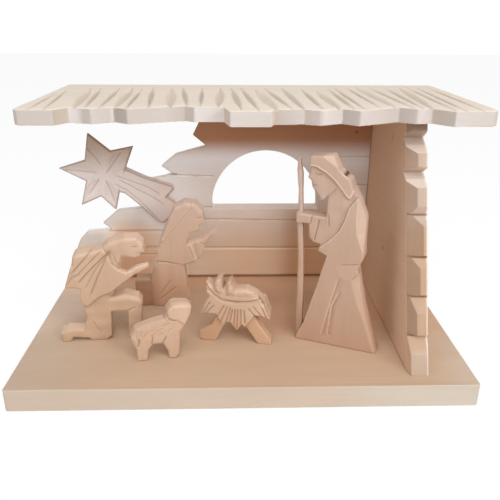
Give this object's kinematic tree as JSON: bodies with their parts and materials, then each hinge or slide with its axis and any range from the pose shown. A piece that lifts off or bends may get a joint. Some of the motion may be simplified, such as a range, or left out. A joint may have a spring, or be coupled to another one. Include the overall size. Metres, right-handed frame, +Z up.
{
  "type": "nativity stable",
  "caption": "Carved wooden nativity stable: base board, plank-like back wall with arched window, notched side wall, gouged flat roof, comet star and loose kneeling and standing figures.",
  "frame": {"origin": "centre of the underside of the base board", "axes": "+X to the right along the base, +Y from the open front to the back wall, +Z up"},
  "size_m": [0.346, 0.207, 0.203],
  "materials": {
    "base_wood": "bare sanded softwood",
    "wall_wood": "bare carved softwood",
    "roof_wood": "bare gouged softwood",
    "figure_wood": "bare carved wood",
    "dowel_wood": "bare beech",
    "screw_steel": "plain steel"
  },
  "bodies": {
    "stable": {"base_board": "base_wood", "back_wall": "wall_wood", "side_wall": "wall_wood", "roof_board": "roof_wood", "comet_star": "figure_wood", "base_screws": "screw_steel", "corner_screws": "screw_steel", "roof_dowels": "dowel_wood", "star_dowels": "dowel_wood"},
    "standing_figure_body": {"standing_figure": "figure_wood"},
    "mother_body": {"mother_figure": "figure_wood"},
    "shepherd_body": {"shepherd_figure": "figure_wood"},
    "sheep_body": {"sheep": "figure_wood"},
    "manger_body": {"manger": "figure_wood"}
  },
  "joints": [
    {"name": "standing_figure_out", "type": "slide", "parent": "stable", "child": "standing_figure_body", "axis": [0, -1, 0], "range_m": [0, 0.11]},
    {"name": "manger_out", "type": "slide", "parent": "stable", "child": "manger_body", "axis": [0, -1, 0], "range_m": [0, 0.11]},
    {"name": "sheep_out", "type": "slide", "parent": "stable", "child": "sheep_body", "axis": [0, -1, 0], "range_m": [0, 0.08]},
    {"name": "mother_out", "type": "slide", "parent": "stable", "child": "mother_body", "axis": [-1, 0, 0], "range_m": [0, 0.165]},
    {"name": "shepherd_out", "type": "slide", "parent": "stable", "child": "shepherd_body", "axis": [-1, 0, 0], "range_m": [0, 0.115]}
  ]
}
